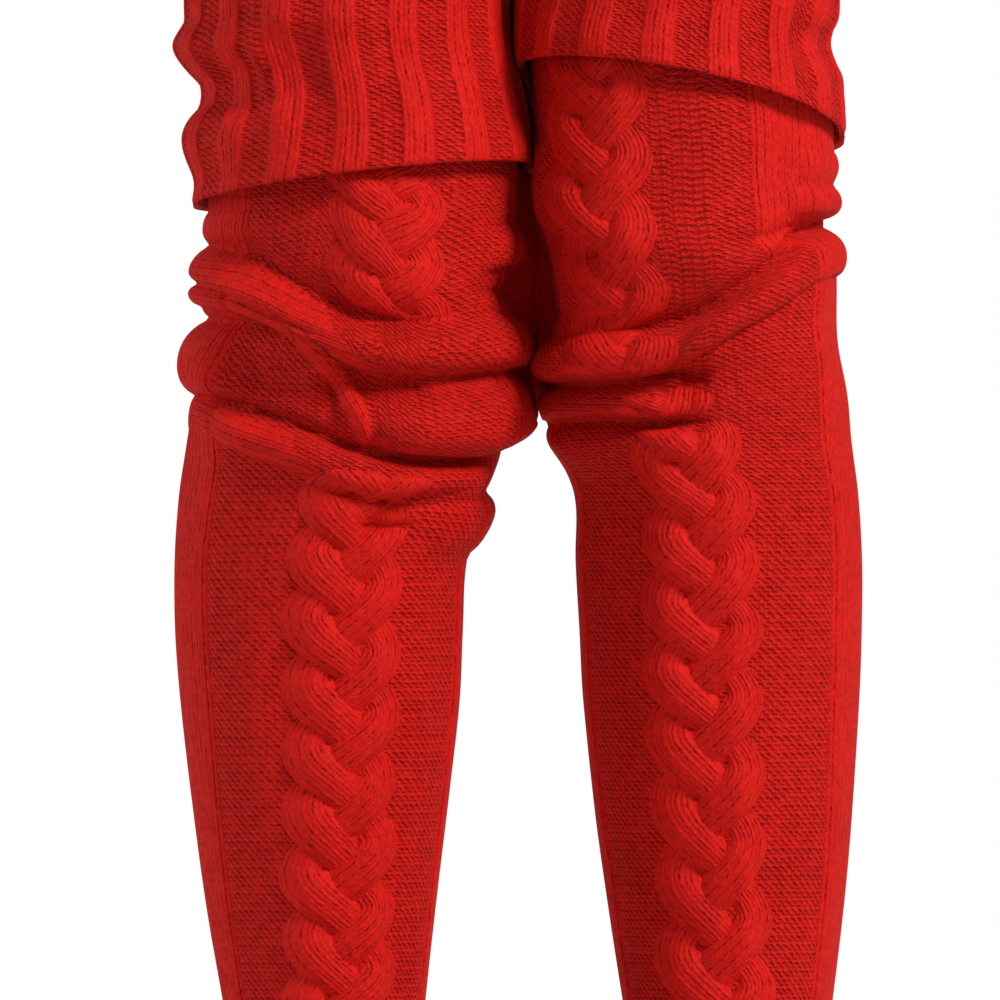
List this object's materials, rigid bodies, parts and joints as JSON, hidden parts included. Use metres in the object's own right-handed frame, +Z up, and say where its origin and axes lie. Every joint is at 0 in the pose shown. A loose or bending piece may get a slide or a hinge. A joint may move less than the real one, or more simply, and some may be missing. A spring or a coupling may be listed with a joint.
{
  "type": "pair of boot socks",
  "caption": "Over-knee boot socks in chunky cable knit, worn and hollow, with folded rib cuffs, a plaited cable down each shin and slouched knees",
  "frame": {"origin": "midway between the two legs, at the height where the folded cuffs grip them above the knee", "axes": "+Z up along the legs, the front of the socks faces -Y, +X towards the wearer's left"},
  "size_m": [0.3092, 0.2672, 0.6681],
  "materials": {
    "rib_knit": "soft matt yarn",
    "cable_knit": "soft matt yarn",
    "plain_knit": "soft matt yarn"
  },
  "bodies": {
    "root": {"right_sock_cuff": "rib_knit", "right_sock_leg": "cable_knit", "right_sock_heel": "plain_knit", "right_sock_foot": "plain_knit", "right_sock_toe": "plain_knit", "left_sock_cuff": "rib_knit", "left_sock_leg": "cable_knit", "left_sock_heel": "plain_knit", "left_sock_foot": "plain_knit", "left_sock_toe": "plain_knit"}
  },
  "joints": []
}
